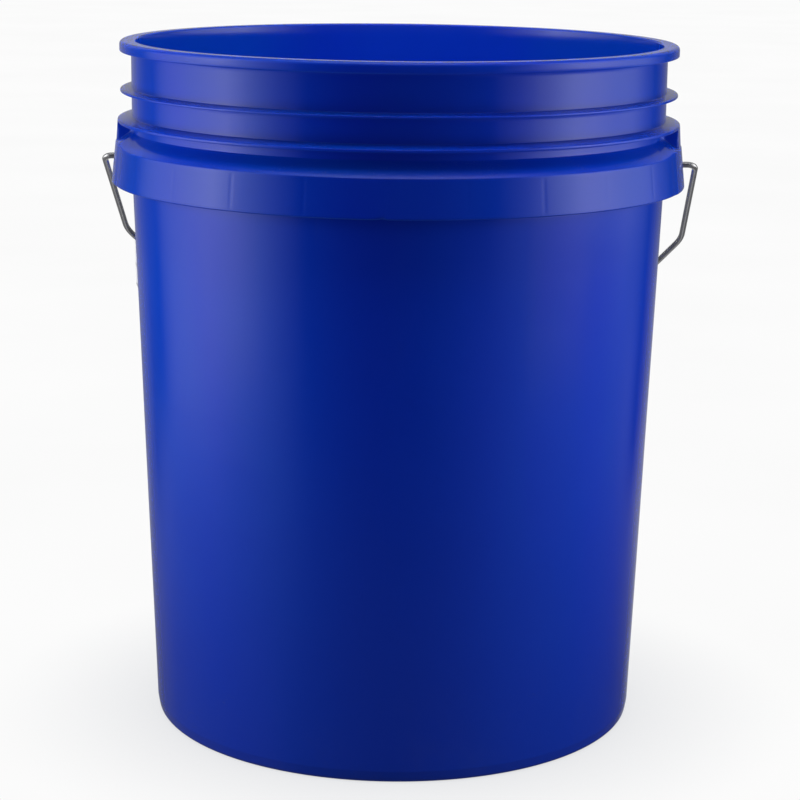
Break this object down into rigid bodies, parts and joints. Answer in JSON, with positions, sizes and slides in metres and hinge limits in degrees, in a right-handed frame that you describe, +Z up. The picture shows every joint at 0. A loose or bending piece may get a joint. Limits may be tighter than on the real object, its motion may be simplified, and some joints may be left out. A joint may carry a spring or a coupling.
{
  "type": "plastic fermenting bucket",
  "caption": "Open five-gallon moulded pail for fermenting, with rim bead, stacking flanges, gusseted skirt, bail ears and a swinging wire bail with a spinning grip.",
  "frame": {"origin": "centre of the foot ring's circle, on the ground plane the pail stands on", "axes": "+Z up along the pail's own axis, X through the two bail ears, -Y the front, +Y the back where the bail hangs at rest"},
  "size_m": [0.3286, 0.3219, 0.375],
  "materials": {
    "pail_plastic": "satin",
    "bail_steel": "satin",
    "grip_plastic": "satin",
    "label_paper": "matte"
  },
  "bodies": {
    "pail": {"pail_body": "pail_plastic", "side_label": "label_paper"},
    "bail": {"bail_wire": "bail_steel"},
    "grip": {"bail_grip": "grip_plastic"}
  },
  "joints": [
    {"name": "bail_swing", "type": "hinge", "parent": "pail", "child": "bail", "pos_m": [0, 0, 0.31], "axis": [1, 0, 0], "range_deg": [0, 249]},
    {"name": "grip_spin", "type": "hinge", "parent": "bail", "child": "grip", "pos_m": [0, 0.15411, 0.20408], "axis": [1, 0, 0], "continuous": true}
  ]
}
